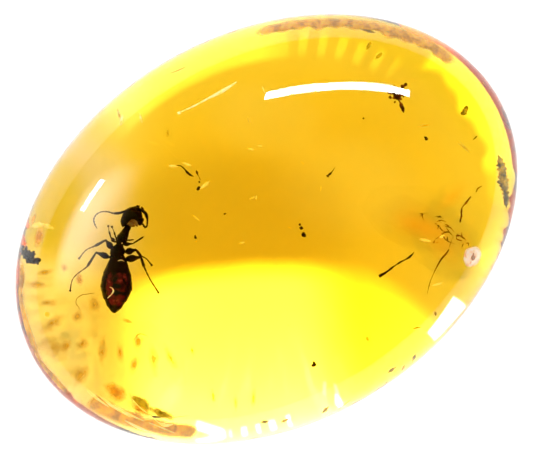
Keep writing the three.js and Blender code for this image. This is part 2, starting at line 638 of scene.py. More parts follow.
legs = {
    "leftFront": [(-6.50, -0.46, -0.12), (-6.68, -0.50, -0.20), (-6.80, -0.36, -0.05), (-6.86, -0.14, 0.02),
                  (-6.95, 0.07, -0.10)],
    "leftFore": [(-6.58, -0.56, -0.14), (-6.85, -0.58, -0.24), (-7.02, -0.36, -0.22), (-7.09, -0.12, -0.24),
                 (-7.12, 0.10, -0.34)],
    "leftMiddle": [(-6.66, -0.84, -0.14), (-6.95, -0.88, -0.14), (-7.25, -0.50, 0.10),
                   (-7.72, -0.76, -0.22),
                   (-8.14, -0.96, -0.42), (-8.42, -1.30, -0.55)],
    "leftHind": [(-6.74, -1.14, -0.14), (-7.08, -1.28, -0.10), (-7.68, -1.06, 0.22), (-8.07, -1.68, -0.25),
                 (-8.76, -2.32, -0.50), (-8.84, -2.74, -0.55)],
    "rightFront": [(-6.42, -0.60, -0.12), (-6.46, -0.70, -0.18), (-6.02, -0.66, 0.06),
                   (-5.56, -0.36, -0.08)],
    "rightMiddle": [(-6.54, -0.92, -0.14), (-6.36, -1.04, -0.10), (-5.88, -0.94, 0.16),
                    (-5.66, -1.22, -0.16),
                    (-5.42, -1.34, -0.34), (-5.20, -1.60, -0.46)],
    "rightHind": [(-6.62, -1.16, -0.14), (-6.36, -1.37, -0.06), (-5.66, -1.27, 0.22), (-5.52, -1.70, -0.22),
                  (-5.26, -2.24, -0.42), (-4.89, -2.83, -0.55)],
}
legThickness = {"coxa": 0.10, "femur": 0.140, "shin": 0.058, "foot": 0.030, "claw": 0.010}
legBulk = {"leftFront": 0.62, "leftFore": 0.62, "leftMiddle": 1.0, "leftHind": 0.95, "rightFront": 0.62,
           "rightMiddle": 1.05, "rightHind": 1.1}


def legForm(corners, bulk):
    # hip, thick spindle of a thigh, shin that widens to its end, five-jointed foot and two claws
    thick = {part: size * bulk for part, size in legThickness.items()}
    true = antPlace(corners)
    hip = pipe(smoothPath(true[:2], 16), spread([0.7, 1.0, 0.8, 0.4], 16) * thick["coxa"], None, 16)
    collar = blob(true[1], (0.05 * bulk,) * 3, None, 12, 14)
    arch = (true[1] + true[2]) / 2 + [0, 0, 0.03]
    thigh = pipe(smoothPath([true[1], arch, true[2]], 36),
                 spread([0.3, 0.75, 1.0, 0.95, 0.68, 0.42, 0.34], 36) * thick["femur"], None, 18, 0.05, 4)
    parts = [hip, collar, thigh, blob(true[2], (0.036 * bulk,) * 3, None, 10, 12)]
    foot = [true[2], true[3]] if len(true) > 3 else [true[1], true[2]]
    if len(true) > 3:
        lower = true[3]
        parts.append(pipe(smoothPath([true[2], (true[2] * 0.5 + lower * 0.5) + [0, 0, 0.02], lower], 30),
                          spread([0.6, 0.85, 0.95, 1.0, 1.1, 0.8], 30) * thick["shin"], None, 12, 0.04, 5))
        spur = unit(lower - true[2])
        parts.append(pipe(smoothPath([lower, lower + spur * 0.05 - [0, 0, 0.03],
                                      lower + spur * 0.1 - [0, 0, 0.05]], 8),
                          spread([0.010, 0.007, 0.001], 8), None, 6))
    if len(true) > 4:
        path = smoothPath(true[3:], 90)
        taper = spread([1.15, 0.95, 0.9, 0.9, 1.15], 90)
        parts.append(pipe(path, thick["foot"] * taper * beads(5, 90, 0.35), None, 10))
        tip = unit(path[-1] - path[-4])
        turned = unit(np.cross(tip, [0, 0, 1.0]))
        for sign in (1, -1):
            claw = [path[-1], path[-1] + tip * 0.04 + turned * sign * 0.035,
                    path[-1] + tip * 0.085 + turned * sign * 0.045 - [0, 0, 0.02],
                    path[-1] + tip * 0.10 + turned * sign * 0.030 - [0, 0, 0.045]]
            parts.append(pipe(smoothPath(claw, 12), spread([1.0, 0.9, 0.5, 0.1], 12) * thick["claw"],
                              None, 7))
        parts.append(blob(path[-1] + tip * 0.03, (0.050, 0.050, 0.034), None, 10, 12))
    return joined(parts)


for name, corners in legs.items():
    form = legForm(corners, legBulk[name])
    reach = np.linalg.norm(form[0] - antPlace([corners[0]])[0], axis=1)
    makePiece("antLeg" + name[0].upper() + name[1:], form, brownChitin,
              {"thin": smoothStep(0.4, 1.6, reach)})

hairs = {"count": 420, "length": 0.085, "thick": 0.0035}


def hairForm():
    # short hairs stand out of the belly and trunk, lean back and taper to nothing
    dice = np.random.default_rng(7)
    gasterPath = smoothPath(antPlace(gaster["path"]), 80)
    trunkPath = smoothPath(antPlace(trunk["path"]), 80)
    paths = np.concatenate([gasterPath[6:76], gasterPath[6:76], trunkPath[8:74]])
    wide = np.concatenate([spread(gaster["wide"], 80)[6:76]] * 2 + [spread(trunk["wide"], 80)[8:74]])
    high = np.concatenate([spread(gaster["high"], 80)[6:76]] * 2 + [spread(trunk["high"], 80)[8:74]])
    back = unit(np.concatenate([np.gradient(gasterPath, axis=0)[6:76]] * 2
                               + [np.gradient(trunkPath, axis=0)[8:74]]))
    pick = dice.integers(0, len(paths), hairs["count"])
    turn = dice.uniform(-0.35 * np.pi, 1.35 * np.pi, hairs["count"])[:, None]
    out = np.cross(back[pick], [0, 0, 1.0])
    out = unit(np.cos(turn) * unit(out) * wide[pick][:, None]
               + np.sin(turn) * [0, 0, 1.0] * high[pick][:, None])
    root = paths[pick] + np.cos(turn) * unit(np.cross(back[pick], [0, 0, 1.0])) * wide[pick][:, None] * 0.98
    root = root + np.sin(turn) * np.array([0, 0, 1.0]) * high[pick][:, None] * 0.98
    lean = unit(out + back[pick] * 0.9)
    tip = root + lean * hairs["length"] * dice.uniform(0.6, 1.3, (hairs["count"], 1))
    across = unit(np.cross(lean, back[pick] + [0.1, 0.2, 0.3])) * hairs["thick"]
    other = unit(np.cross(lean, across)) * hairs["thick"]
    corners = np.stack([root + across, root - across * 0.5 + other * 0.87,
                        root - across * 0.5 - other * 0.87, tip],
                       axis=1)
    base = np.arange(hairs["count"])[:, None] * 4
    faces = np.concatenate([base + [0, 1, 3, 3], base + [1, 2, 3, 3],
                            base + [2, 0, 3, 3], base + [0, 2, 1, 1]])
    return corners.reshape(-1, 3), faces


form = hairForm()
makePiece("antHairs", form, brownChitin, thinness(form, 1.0))
print("the ant is built")


def litterPaint(name, dark, light, rough=0.55, perMm=4.0, lit=0.0):
    # dry brown matter, mottled and finely pitted; lit sets a painted glow, an emission that stands in for
    # light the lamps don't bring into the stone
    paint = Paint(name)
    cloud = paint.noise(perMm, 4.0).ease(0.35, 0.68)
    grain = paint.noise(perMm * 4, 2.0)
    tone = paint.mix(cloud, dark, light)
    return paint.finish(paint.node("ShaderNodeBsdfPrincipled", None, {
        "Base Color": tone, "Roughness": cloud * 0.2 + rough, "Emission Color": tone,
        "Emission Strength": lit,
        "Normal": paint.bump(grain, 0.5, 0.02)}))


def veilPaint(name, dark, light, cover, lit, perMm=2.2, torn=0.8, soft=1.0):
    # a see-through film that fades towards its edge, torn by noise; its glow is painted light, an emission
    # that stands in for the bed's light shining up through it
    paint = Paint(name)
    cloud = paint.noise(perMm, 5.0, 0.6)
    tone = paint.mix(cloud.ease(0.35, 0.65), dark, light)
    film = (paint.attribute("fade") * (1 + torn) + (cloud - 1) * torn * 1.4).ease(0.0, soft) * cover
    return paint.finish(paint.node("ShaderNodeBsdfPrincipled", None, {
        "Base Color": tone, "Roughness": 0.45, "Alpha": film,
        "Emission Color": tone, "Emission Strength": lit}))


def gasGlintPaint(name, dim, bright, lit):
    # a film, mostly of gas, whose flash is a painted highlight: an emission that stands in for the light it
    # turns back
    paint = Paint(name)
    cloud = paint.noise(5.0, 3.0)
    tone = paint.mix(cloud.ease(0.3, 0.6), dim, bright)
    return paint.finish(paint.node("ShaderNodeBsdfPrincipled", None, {
        "Base Color": tone, "Roughness": 0.15, "Coat Weight": 0.6,
        "Emission Color": tone, "Emission Strength": lit, "Normal": paint.bump(cloud, 0.4, 0.01)}))


# the lit argument of each litter, gas and veil paint below is painted light: a glow that stands in for
# light inside the stone
barkPaint = litterPaint("darkLitter", (0.008, 0.004, 0.003, 1), (0.070, 0.022, 0.010, 1))
rustPaint = litterPaint("rustLitter", (0.070, 0.014, 0.005, 1), (0.36, 0.090, 0.022, 1), 0.55, 4.0, 0.15)
leafPaint = litterPaint("leafLitter", (0.10, 0.085, 0.012, 1), (0.70, 0.52, 0.05, 1), 0.5, 3.0, 0.50)
fibrePaint = litterPaint("fibre", (0.050, 0.012, 0.003, 1), (0.30, 0.080, 0.012, 1), 0.55, 4.0, 0.12)
slatePaint = litterPaint("slate", (0.006, 0.008, 0.010, 1), (0.045, 0.055, 0.060, 1), 0.3)
flashPaint = gasGlintPaint("gasFilm", (0.95, 0.80, 0.30, 1), (1.0, 0.97, 0.80, 1), 0.85)
faintFlash = gasGlintPaint("faintGasFilm", (0.80, 0.62, 0.20, 1), (0.95, 0.85, 0.55, 1), 0.45)
pearlPaint = gasGlintPaint("pearl", (0.80, 0.44, 0.26, 1), (1.0, 0.84, 0.70, 1), 0.60)
bubbleRust = gasGlintPaint("bubbleRust", (0.30, 0.13, 0.06, 1), (0.55, 0.30, 0.18, 1), 0.30)
orangeVeil = veilPaint("orangeVeil", (1.0, 0.34, 0.0, 1), (1.0, 0.48, 0.01, 1), 0.16, 0.85, 0.8, 0.4, 1.5)
brownVeil = veilPaint("brownVeil", (0.56, 0.34, 0.01, 1), (0.84, 0.56, 0.03, 1), 0.88, 0.42, 2.6, 1.3, 2.4)
rustVeil = veilPaint("rustVeil", (0.50, 0.26, 0.005, 1), (0.96, 0.62, 0.02, 1), 0.90, 0.52, 1.8, 0.7, 1.1)
peachVeil = veilPaint("peachVeil", (0.62, 0.24, 0.02, 1), (0.95, 0.52, 0.09, 1), 0.74, 0.60, 2.4, 1.2, 1.3)
oliveVeil = veilPaint("oliveVeil", (0.30, 0.23, 0.02, 1), (0.80, 0.66, 0.10, 1), 0.85, 0.40, 3.0, 1.0, 0.9)


def strand(places, thick, steps=40, sides=10, lump=0.25, seed=2):
    # a knotty thread through the places, its thickness given at even steps
    return pipe(smoothPath(throughDome(places), steps), spread(thick, steps), None, sides, lump, seed)


def crumbs(places, sizes, seed):
    # uneven grains, each a small ball pushed in and out
    dice = np.random.default_rng(seed)
    parts = []
    for place, size in zip(throughDome(places), sizes):
        turned = unit(dice.normal(size=(2, 3)))
        square = np.stack([turned[0], unit(np.cross(turned[0], turned[1])), np.zeros(3)])
        square[2] = np.cross(square[0], square[1])
        parts.append(blob(place, size * dice.uniform(0.6, 1.2, 3), square, 14, 18, 0.5,
                          int(dice.integers(1e6))))
    return joined(parts)


def films(patches, thickness, seed):
    # flat torn patches (place, direction in degrees, length, width, lean in degrees); fade is 1 in
    # the middle of each and 0 at its edge
    parts, fades = [], []
    for number, (place, heading, length, width, lean) in enumerate(patches):
        middle = throughDome([place])[0]
        heading = np.radians(heading) - lieAngle
        axes = lensAxes((np.cos(heading), np.sin(heading)), np.radians(lean))
        points, faces = blob(middle, (length / 2, width / 2, thickness), axes, 26, 44, 0.35, seed + number)
        local = (points - middle) @ axes.T / (length / 2, width / 2, 1)
        fades.append(np.clip(1 - np.linalg.norm(local[:, :2], axis=1), 0, 1))
        parts.append((points, faces))
    return joined(parts), np.concatenate(fades)


def rimFilm(start, end, inner, outer, up, seed):
    # a thin band that follows the girdle from one turn to another, given in degrees round the
    # oval, between two shares of the outline; fade is 1 along its middle and 0 at its edges
    steps, across = 220, 18
    turn = np.radians(np.linspace(start, end, steps))[:, None]
    share = np.linspace(inner, outer, across)[None]
    wander = ripple(np.stack([turn * 9, 0 * turn, 0 * turn], axis=-1), 1.0, 0.012, seed)
    share = share + wander * (outer - share) / (outer - inner)
    x = stone["halfLength"] * share * np.cos(turn)
    y = stone["halfWidth"] * share * np.sin(turn)
    flat = np.stack([x, y, 0 * x], axis=-1)
    places = np.stack([flat @ toRight, flat @ toAway, up + 0 * x], axis=-1)
    sheet = throughDome(places.reshape(-1, 3)).reshape(steps, across, 3)
    sheet[..., 2] += 0.05 * ripple(sheet, 0.8, 1.0, seed + 1)
    ends = np.linspace(0, 1, steps)[:, None] * np.linspace(1, 0, steps)[:, None] * 4
    sides = np.linspace(0, 1, across)[None] * np.linspace(1, 0, across)[None] * 4
    fade = np.clip(ends * 3, 0, 1) * sides
    grid = np.concatenate([sheet + [0, 0, 0.008], sheet[:, ::-1] - [0, 0, 0.008]], axis=1)
    fade = np.concatenate([fade, fade[:, ::-1]], axis=1)
    middle = sheet.mean(axis=1, keepdims=True)
    grid = np.concatenate([middle[:1] + 0 * grid[:1], grid, middle[-1:] + 0 * grid[:1]])
    fade = np.concatenate([0 * fade[:1], fade, 0 * fade[:1]])
    return roundGrid(grid), np.concatenate([fade[:1, 0], fade[1:-1].reshape(-1), fade[-1:, 0]])


def joinedFilms(made):
    # several films with their fades as one
    return joined([form for form, _ in made]), np.concatenate([fade for _, fade in made])


def sliver(start, end, size):
    # a flat spindle between two places
    thick = spread([0.1, 0.8, 1.0, 0.7, 0.1], 16) * size * 0.7
    return pipe(smoothPath(throughDome([start, end]), 16), thick, thick * 0.3, 10, 0.35, 3)


threads = {
    "forkedThread": ([(-4.05, 2.86, 4.2), (-3.87, 2.84, 4.2), (-3.69, 2.69, 4.25), (-3.50, 2.48, 4.3),
                      (-3.29, 2.36, 4.3)], [0.015, 0.022, 0.028, 0.030, 0.055, 0.045, 0.01]),
    "hook": ([(-3.16, 2.64, 4.3), (-3.12, 2.50, 4.3), (-3.02, 2.30, 4.3), (-2.98, 2.20, 4.3)],
             [0.02, 0.045, 0.012, 0.010, 0.008]),
    "tailedSpeck": ([(2.76, 2.40, 3.8), (2.88, 2.50, 3.8), (2.98, 2.62, 3.8), (3.08, 2.78, 3.8)],
                    [0.02, 0.05, 0.02, 0.012, 0.008]),
    "upperDash": ([(-4.35, 7.02, 3.6), (-4.05, 7.12, 3.6), (-3.65, 7.30, 3.6)], [0.006, 0.022, 0.006]),
    "rimDash": ([(1.27, 9.34, 2.7), (1.26, 9.15, 2.7), (1.25, 8.96, 2.7)], [0.015, 0.03, 0.015]),
    "shortDash": ([(9.30, 4.02, 3.2), (9.50, 4.20, 3.2)], [0.01, 0.02, 0.01]),
    "stub": ([(-6.36, -0.52, 4.3), (-6.15, -0.50, 4.3), (-5.98, -0.48, 4.3)], [0.02, 0.035, 0.02]),
    "curl": ([(-6.02, -5.02, 2.0), (-5.72, -4.72, 2.0), (-5.38, -4.80, 2.0)], [0.006, 0.014, 0.006]),
}
makePiece("threads", joined([strand(places, thick) for places, thick in threads.values()]),
          barkPaint)

speckPlaces = [
    ((-3.03, 2.12, 4.2), 0.05), ((-3.08, 1.82, 4.2), 0.07), ((-3.04, 1.86, 4.3), 0.05),
    ((-1.88, 0.68, 3.9), 0.045), ((-3.20, -0.40, 3.9), 0.05), ((-3.22, -0.32, 3.9), 0.035),
    ((1.50, 0.20, 3.9), 0.05), ((1.57, 0.05, 3.9), 0.06), ((1.66, -0.24, 3.8), 0.09),
    ((1.72, -0.30, 3.8), 0.06),
    ((2.14, -6.04, 2.6), 0.08), ((2.20, -6.12, 2.6), 0.08), ((2.10, -6.14, 2.6), 0.07),
    ((4.37, 4.98, 3.0), 0.055), ((7.21, 4.05, 3.4), 0.07), ((7.16, 4.12, 3.4), 0.05),
    ((2.76, 2.38, 3.8), 0.06),
    ((0.99, -4.34, 3.2), 0.02), ((8.65, -3.55, 2.4), 0.04),
]
makePiece("specks", crumbs([place for place, _ in speckPlaces], [size for _, size in speckPlaces], 5),
          barkPaint)

# pale slivers of gas in the stone; their brightness is a painted highlight from the glowing paint
brightFlecks = [
    ((-4.42, 2.84, 4.2), (-4.00, 2.82, 4.2), 0.075), ((-3.80, 2.98, 4.2), (-3.38, 2.84, 4.2), 0.07),
    ((-2.56, 2.16, 4.2), (-3.00, 1.80, 4.2), 0.10), ((-3.34, 0.64, 4.0), (-3.00, 0.36, 4.0), 0.030),
    ((-0.55, 3.56, 4.4), (-0.88, 3.64, 4.4), 0.05), ((-0.42, 3.76, 4.4), (-0.16, 3.72, 4.4), 0.03),
    ((-0.45, 1.52, 4.2), (-0.47, 1.32, 4.2), 0.035), ((-1.24, -0.66, 4.0), (-0.96, -0.58, 4.0), 0.05),
    ((-0.52, 1.46, 4.2), (-0.78, 1.34, 4.2), 0.04), ((2.46, 1.96, 3.9), (2.44, 1.72, 3.9), 0.02),
    ((-3.96, 5.16, 5.0), (-3.92, 5.30, 5.0), 0.11), ((6.88, -0.46, 3.2), (7.42, -0.56, 3.2), 0.08),
    ((7.80, -0.40, 3.3), (8.02, -0.28, 3.3), 0.08), ((-10.55, 0.14, 2.4), (-10.00, 0.22, 2.4), 0.14),
    ((-9.98, 0.20, 2.4), (-9.58, 0.02, 2.4), 0.12), ((-9.95, -3.75, 1.2), (-9.80, -3.95, 1.2), 0.12),
    ((7.45, -2.55, 3.0), (7.95, -2.42, 3.0), 0.05), ((-6.58, 4.62, 3.8), (-6.48, 5.20, 3.8), 0.10),
    ((-5.60, 4.76, 4.6), (-5.72, 5.22, 4.6), 0.04),
]
makePiece("gasFlecks", joined([sliver(*fleck) for fleck in brightFlecks]), flashPaint)

faintFlecks = [
    ((-6.55, 4.90, 3.8), (-6.72, 5.42, 3.8), 0.07), ((0.95, 0.10, 3.6), (1.12, 0.02, 3.6), 0.02),
    ((-3.2, -0.58, 3.9), (-3.12, -0.52, 3.9), 0.03), ((-4.70, -0.10, 3.9), (-4.64, -0.18, 3.9), 0.02),
    ((-0.85, 5.10, 4.6), (-0.70, 4.70, 4.6), 0.03), ((1.55, 3.05, 4.2), (1.70, 2.90, 4.2), 0.02),
    ((6.80, 4.60, 3.6), (7.35, 4.70, 3.6), 0.05), ((8.60, 3.95, 3.2), (9.20, 3.45, 3.2), 0.05),
]
makePiece("faintFlecks", joined([sliver(*fleck) for fleck in faintFlecks]), faintFlash)

# a pale crack line; its paleness is a painted highlight from the glowing flash paint
crackLine = joined([
    strand([(-3.98, 5.22, 5.1), (-3.3, 5.52, 5.15), (-2.66, 5.86, 5.1), (-2.0, 6.20, 5.0),
            (-1.35, 6.62, 4.8)],
           [0.020, 0.034, 0.046, 0.080, 0.020], 60, 8, 0.1),
    strand([(-0.2, 6.42, 4.8), (-0.05, 6.10, 4.9), (0.02, 5.98, 4.9)], [0.01, 0.02, 0.01], 20, 8, 0.1),
])
makePiece("paleCrackLine", crackLine, flashPaint)

makePiece("looseHair", strand(
    [(-7.74, -2.88, 4.1), (-8.06, -2.93, 4.1), (-8.38, -3.00, 4.1), (-8.57, -3.20, 4.05),
     (-8.56, -3.40, 4.0),
     (-8.46, -3.50, 4.0), (-8.44, -3.64, 4.0)], [0.005, 0.012, 0.013, 0.013, 0.012, 0.012, 0.008], 70,
     8, 0.1),
    barkPaint)

twig = joined([
    strand([(5.08, -2.14, 3.6), (5.38, -1.96, 3.65), (5.70, -1.72, 3.7), (6.08, -1.47, 3.75),
            (6.40, -1.30, 3.8),
            (6.60, -1.12, 3.8)], [0.050, 0.062, 0.036, 0.040, 0.034, 0.044, 0.026, 0.042, 0.02], 90, 12,
            0.5, 4),
    strand([(6.58, -1.14, 3.8), (6.64, -1.04, 3.82)], [0.02, 0.015], 10),
])
makePiece("twig", twig, barkPaint)

fibres = joined([
    strand([(8.22, -0.92, 3.2), (8.10, -1.10, 3.2), (7.92, -1.30, 3.2), (7.60, -1.84, 3.2),
            (7.36, -2.42, 3.1),
            (7.24, -2.92, 3.1)], [0.02, 0.035, 0.030, 0.020, 0.008, 0.016, 0.006], 70, 10, 0.3, 6),
    strand([(8.24, -0.80, 3.2), (8.34, -0.50, 3.2), (8.42, -0.34, 3.2)], [0.010, 0.008, 0.006], 30),
    strand([(8.72, 0.30, 3.4), (8.78, 0.60, 3.4), (8.80, 0.92, 3.4), (9.02, 1.22, 3.5), (9.20, 1.46, 3.5)],
           [0.03, 0.042, 0.030, 0.026, 0.040, 0.022], 60, 10, 0.4, 7),
    strand([(9.44, 1.66, 3.5), (9.50, 1.80, 3.5), (9.70, 1.94, 3.5)], [0.02, 0.025, 0.012], 20),
])
makePiece("fibres", fibres, fibrePaint)


def tangleForm():
    # short bent fibres crossing one another
    dice = np.random.default_rng(91)
    knots = [(6.95, 0.74), (7.25, 0.52), (7.62, 0.28), (7.98, 0.12), (8.30, -0.06), (8.58, -0.30),
             (8.90, -0.62),
             (7.30, -0.36), (7.62, -0.52), (7.90, -0.30), (8.10, -0.20)]
    parts = []
    for i in range(22):
        start = np.array(knots[int(dice.integers(len(knots)))]) + dice.normal(0, 0.07, 2)
        way = dice.normal(0, 0.20, 2) + [0.14, -0.10]
        bend = dice.normal(0, 0.07, 2)
        places = [(*start, 3.3 + dice.normal(0, 0.1)), (*(start + way / 2 + bend),
                                                        3.3 + dice.normal(0, 0.1)),
                  (*(start + way), 3.3 + dice.normal(0, 0.1))]
        parts.append(strand(places, np.array([0.008, 0.024, 0.018, 0.006]) * dice.uniform(0.6, 1.3), 18,
                            8, 0.3, i))
    return joined(parts)


makePiece("tangle", tangleForm(), rustPaint)


def clumpForm():
    # reddish crumbs in a loose heap with a crooked stalk below
    dice = np.random.default_rng(17)
    count = 60
    spots = np.stack([dice.normal(5.94, 0.17, count), dice.normal(6.10, 0.14, count),
                      4.2 + dice.normal(0, 0.12, count)], axis=-1)
    heap = crumbs(spots, dice.uniform(0.04, 0.095, count), 18)
    stalk = strand([(5.86, 5.98, 4.2), (5.98, 5.78, 4.2), (6.08, 5.56, 4.2), (6.15, 5.36, 4.2),
                    (6.18, 5.24, 4.2)],
                   [0.06, 0.04, 0.035, 0.075, 0.070, 0.02], 50, 12, 0.5, 9)
    return joined([heap, stalk])


makePiece("crumbClump", clumpForm(), rustPaint)


def flakeForm():
    # a narrow leaf scrap with a midrib and a torn saw edge, curled along its length
    rib = smoothPath(throughDome([(10.42, 3.32, 2.9), (10.56, 2.86, 2.9), (10.62, 2.30, 2.9),
                                  (10.74, 1.66, 2.9),
                                  (10.78, 0.96, 2.9)]), 120)
    share = np.linspace(0, 1, 120)
    ahead = unit(np.gradient(rib, axis=0))
    side = unit(np.cross(ahead, [0, 0, 1.0]))
    wide = spread([0.01, 0.20, 0.28, 0.26, 0.30, 0.26, 0.20, 0.20, 0.02], 120)
    saw = 1 - 0.40 * ((share * 13) % 1.0) ** 2
    dice = np.random.default_rng(3)
    torn = np.interp(share, np.linspace(0, 1, 30), dice.uniform(0.6, 1.15, 30))
    across = np.linspace(-1, 1, 15)[None, :, None]
    reach = (wide * saw)[:, None, None] * np.where(across < 0, torn[:, None, None], torn[::-1, None, None])
    sheet = rib[:, None] + across * reach * side[:, None]
    sheet[..., 2] += -0.10 * across[..., 0] ** 2 + 0.012 * np.cos(across[..., 0] * 14)
    grid = np.concatenate([sheet + [0, 0, 0.006], sheet[:, ::-1] - [0, 0, 0.006]], axis=1)
    grid = np.concatenate([rib[:1, None] + 0 * grid[:1], grid, rib[-1:, None] + 0 * grid[:1]])
    return roundGrid(grid)


seedGrain = crumbs([(8.93, 5.30, 2.6), (8.86, 5.22, 2.6), (8.99, 5.42, 2.6)], [0.13, 0.10, 0.08], 12)
makePiece("leafScrap", joined([flakeForm(), seedGrain]), leafPaint)

chip = crumbs([(-11.02, -0.86, 2.9), (-10.86, -1.00, 3.0), (-10.70, -1.12, 3.0), (-10.56, -1.24, 3.0),
               (-10.42, -1.42, 3.0), (-10.66, -1.34, 2.9), (-10.90, -1.20, 2.9), (-10.50, -1.08, 3.0),
               (-10.30, -1.52, 3.0), (-10.98, -1.04, 2.9)],
              [0.15, 0.20, 0.20, 0.19, 0.15, 0.17, 0.14, 0.10, 0.08, 0.12], 61)
makePiece("darkChip", chip, slatePaint)


def underDome(right, away, depth):
    # a place a given depth below the dome's skin, and three axes with the last one square to it
    flat = toRight * right + toAway * away
    for _ in range(30):
        skin = np.array([flat[0], flat[1], domeTop(flat[0], flat[1])])
        seen = skin + (np.array([0, 0, stone["eyeHeight"]]) - skin) * (
            (stone["girdleHeight"] - skin[2]) / (stone["eyeHeight"] - skin[2]))
        flat = flat + (toRight * right + toAway * away - seen) * [1, 1, 0]
    out = domeNormal(*skin)
    first = unit(np.cross(out, toRight))
    return skin - out * depth, np.stack([first, np.cross(out, first), out])


# a flat bubble under the skin: its pale pink wall is a painted reflection, glowing by emission, and a rusty
# grain that glows faintly lies in it
bubbleMiddle, bubbleAxes = underDome(9.36, -1.30, 0.24)
makePiece("bubbleWall", blob(bubbleMiddle, (0.48, 0.54, 0.10), bubbleAxes, 40, 56, 0.16, 4),
          pearlPaint)
grainMiddle = bubbleMiddle + 0.105 * bubbleAxes[2]
makePiece("bubbleGrain", joined([
    blob(grainMiddle, (0.13, 0.11, 0.03), bubbleAxes, 16, 20, 0.5, 5),
    blob(grainMiddle + bubbleAxes[0] * 0.14, (0.07, 0.05, 0.02), bubbleAxes, 14, 18, 0.4, 6)]),
    bubbleRust)

filmSets = {
    "orangeCloud": (orangeVeil, 0.05, 200, [
        ((7.40, 0.00, 2.2), -30, 5.2, 3.0, 5), ((7.90, -0.60, 2.6), -55, 3.6, 2.2, -6),
        ((6.60, 0.20, 2.2), -15, 3.2, 1.8, 4), ((8.35, 1.45, 2.8), 45, 2.8, 1.3, 0),
        ((8.90, -0.60, 2.7), -60, 2.0, 1.3, 4)]),
    # brown films, most just above the flat underside: painted shade for the dark dashes that the
    # underside's dents throw
    "underStains": (brownVeil, 0.02, 300, [
        ((-7.38, -5.46, 0.25), 85, 2.10, 0.74, 0), ((-6.60, -5.58, 0.25), 100, 1.60, 0.60, 0),
        ((-5.96, -6.14, 0.25), 70, 1.30, 0.80, 0), ((-5.10, -5.90, 0.25), 98, 2.60, 0.80, 0),
        ((-4.30, -5.80, 0.25), 118, 2.40, 0.84, 0), ((-5.78, -5.08, 0.25), 80, 1.50, 0.84, 0),
        ((-8.28, -5.18, 0.30), 55, 1.20, 0.95, 0), ((-9.60, -5.35, 0.80), -25, 2.50, 1.60, 0),
        ((-9.02, -5.26, 0.50), 50, 1.10, 0.75, 0), ((-9.88, -3.32, 0.60), 10, 1.38, 0.65, 0),
        ((-8.50, -3.92, 0.40), 75, 1.25, 0.81, 0), ((-7.72, -3.40, 0.35), -65, 1.38, 0.94, 0),
        ((-6.20, -4.18, 0.30), -15, 1.12, 0.35, 0), ((-3.36, -5.48, 0.25), 100, 0.69, 0.35, 0),
        ((-9.70, -4.25, 0.85), 30, 2.45, 1.15, 0), ((-10.30, -2.50, 1.0), 5, 1.75, 0.70, 0),
        ((-10.00, -1.95, 1.0), 15, 1.38, 0.54, 0), ((-9.10, -1.75, 0.70), 95, 0.81, 0.54, 0),
        ((-8.40, -6.55, 0.6), 40, 1.75, 1.35, 0),
        ((-8.45, -2.25, 0.40), 95, 1.19, 0.57, 0),
        ((-1.40, -7.80, 0.3), 85, 1.12, 0.41, 0), ((-0.60, -7.60, 0.3), 80, 1.25, 0.41, 0),
        ((-2.40, -7.50, 0.3), 95, 1.12, 0.41, 0), ((4.55, -4.95, 0.3), 110, 0.50, 0.34, 0),
        ((-4.46, 4.32, 4.2), 90, 0.75, 0.35, 0)]),
    "edgeOrange": (peachVeil, 0.03, 400, [
        ((-6.75, -7.35, 1.6), -35, 1.9, 1.1, 10), ((-5.60, -8.14, 1.8), -28, 2.3, 0.9, 12),
        ((-4.20, -8.95, 2.1), -12, 2.4, 0.8, 8), ((-10.25, -0.35, 2.8), 75, 1.6, 0.9, 0),
        ((-10.50, 0.45, 2.8), 65, 1.0, 0.5, 0)]),
    "oliveCrack": (oliveVeil, 0.015, 500, [
        ((-5.65, -7.80, 2.4), -32, 1.9, 0.70, 20), ((-4.75, -8.30, 2.3), -22, 2.1, 0.60, 15),
        ((4.60, 8.26, 2.9), 60, 0.70, 0.26, 0), ((5.06, 7.80, 2.9), 42, 0.75, 0.24, 0)]),
}
for name, (paint, thickness, seed, patches) in filmSets.items():
    form, fade = films(patches, thickness, seed)
    makePiece(name, form, paint, {"fade": fade})

crust, fade = joinedFilms([
    rimFilm(14, 72, 0.930, 0.990, 2.75, 610),
    rimFilm(-162, -128, 0.900, 0.990, 2.2, 630), rimFilm(150, 196, 0.965, 0.992, 2.75, 640)])
makePiece("rimCrust", crust, rustVeil, {"fade": fade})

dashes = [
    ((7.58, -3.70, 2.2), (7.64, -3.92, 2.2), 0.05), ((6.60, -4.48, 2.0), (6.98, -4.42, 2.0), 0.025),
    ((6.56, -5.98, 2.0), (6.72, -5.62, 2.0), 0.07), ((6.08, -6.42, 2.0), (6.22, -6.10, 2.0), 0.06),
    ((5.45, -6.48, 2.0), (5.85, -6.20, 2.0), 0.06), ((5.30, -6.98, 2.0), (5.50, -6.84, 2.0), 0.05),
    ((3.20, -8.14, 2.0), (3.80, -7.70, 2.0), 0.03), ((2.50, -8.30, 2.0), (2.80, -8.00, 2.0), 0.07),
    ((-0.25, -8.72, 2.0), (0.10, -8.66, 2.0), 0.06), ((0.65, -8.70, 2.0), (1.00, -8.56, 2.0), 0.06),
    ((3.50, 9.20, 2.7), (3.95, 9.13, 2.7), 0.035), ((4.20, 9.02, 2.7), (4.92, 8.84, 2.7), 0.07),
    ((5.05, 9.05, 2.7), (5.98, 8.72, 2.7), 0.06), ((6.38, 8.76, 2.7), (7.10, 8.56, 2.7), 0.05),
    ((7.50, 8.28, 2.7), (8.40, 7.76, 2.7), 0.03), ((9.12, 7.52, 2.7), (9.28, 7.38, 2.7), 0.04),
    ((9.74, 6.62, 2.6), (9.90, 6.40, 2.6), 0.040), ((-5.0, -9.02, 2.2), (-4.3, -9.20, 2.2), 0.03),
]
makePiece("edgeDashes", joined([strand([a, b], [0.008, size, 0.008], 14, 8, 0.4, 3) for a, b,
                                size in dashes]),
          leafPaint)
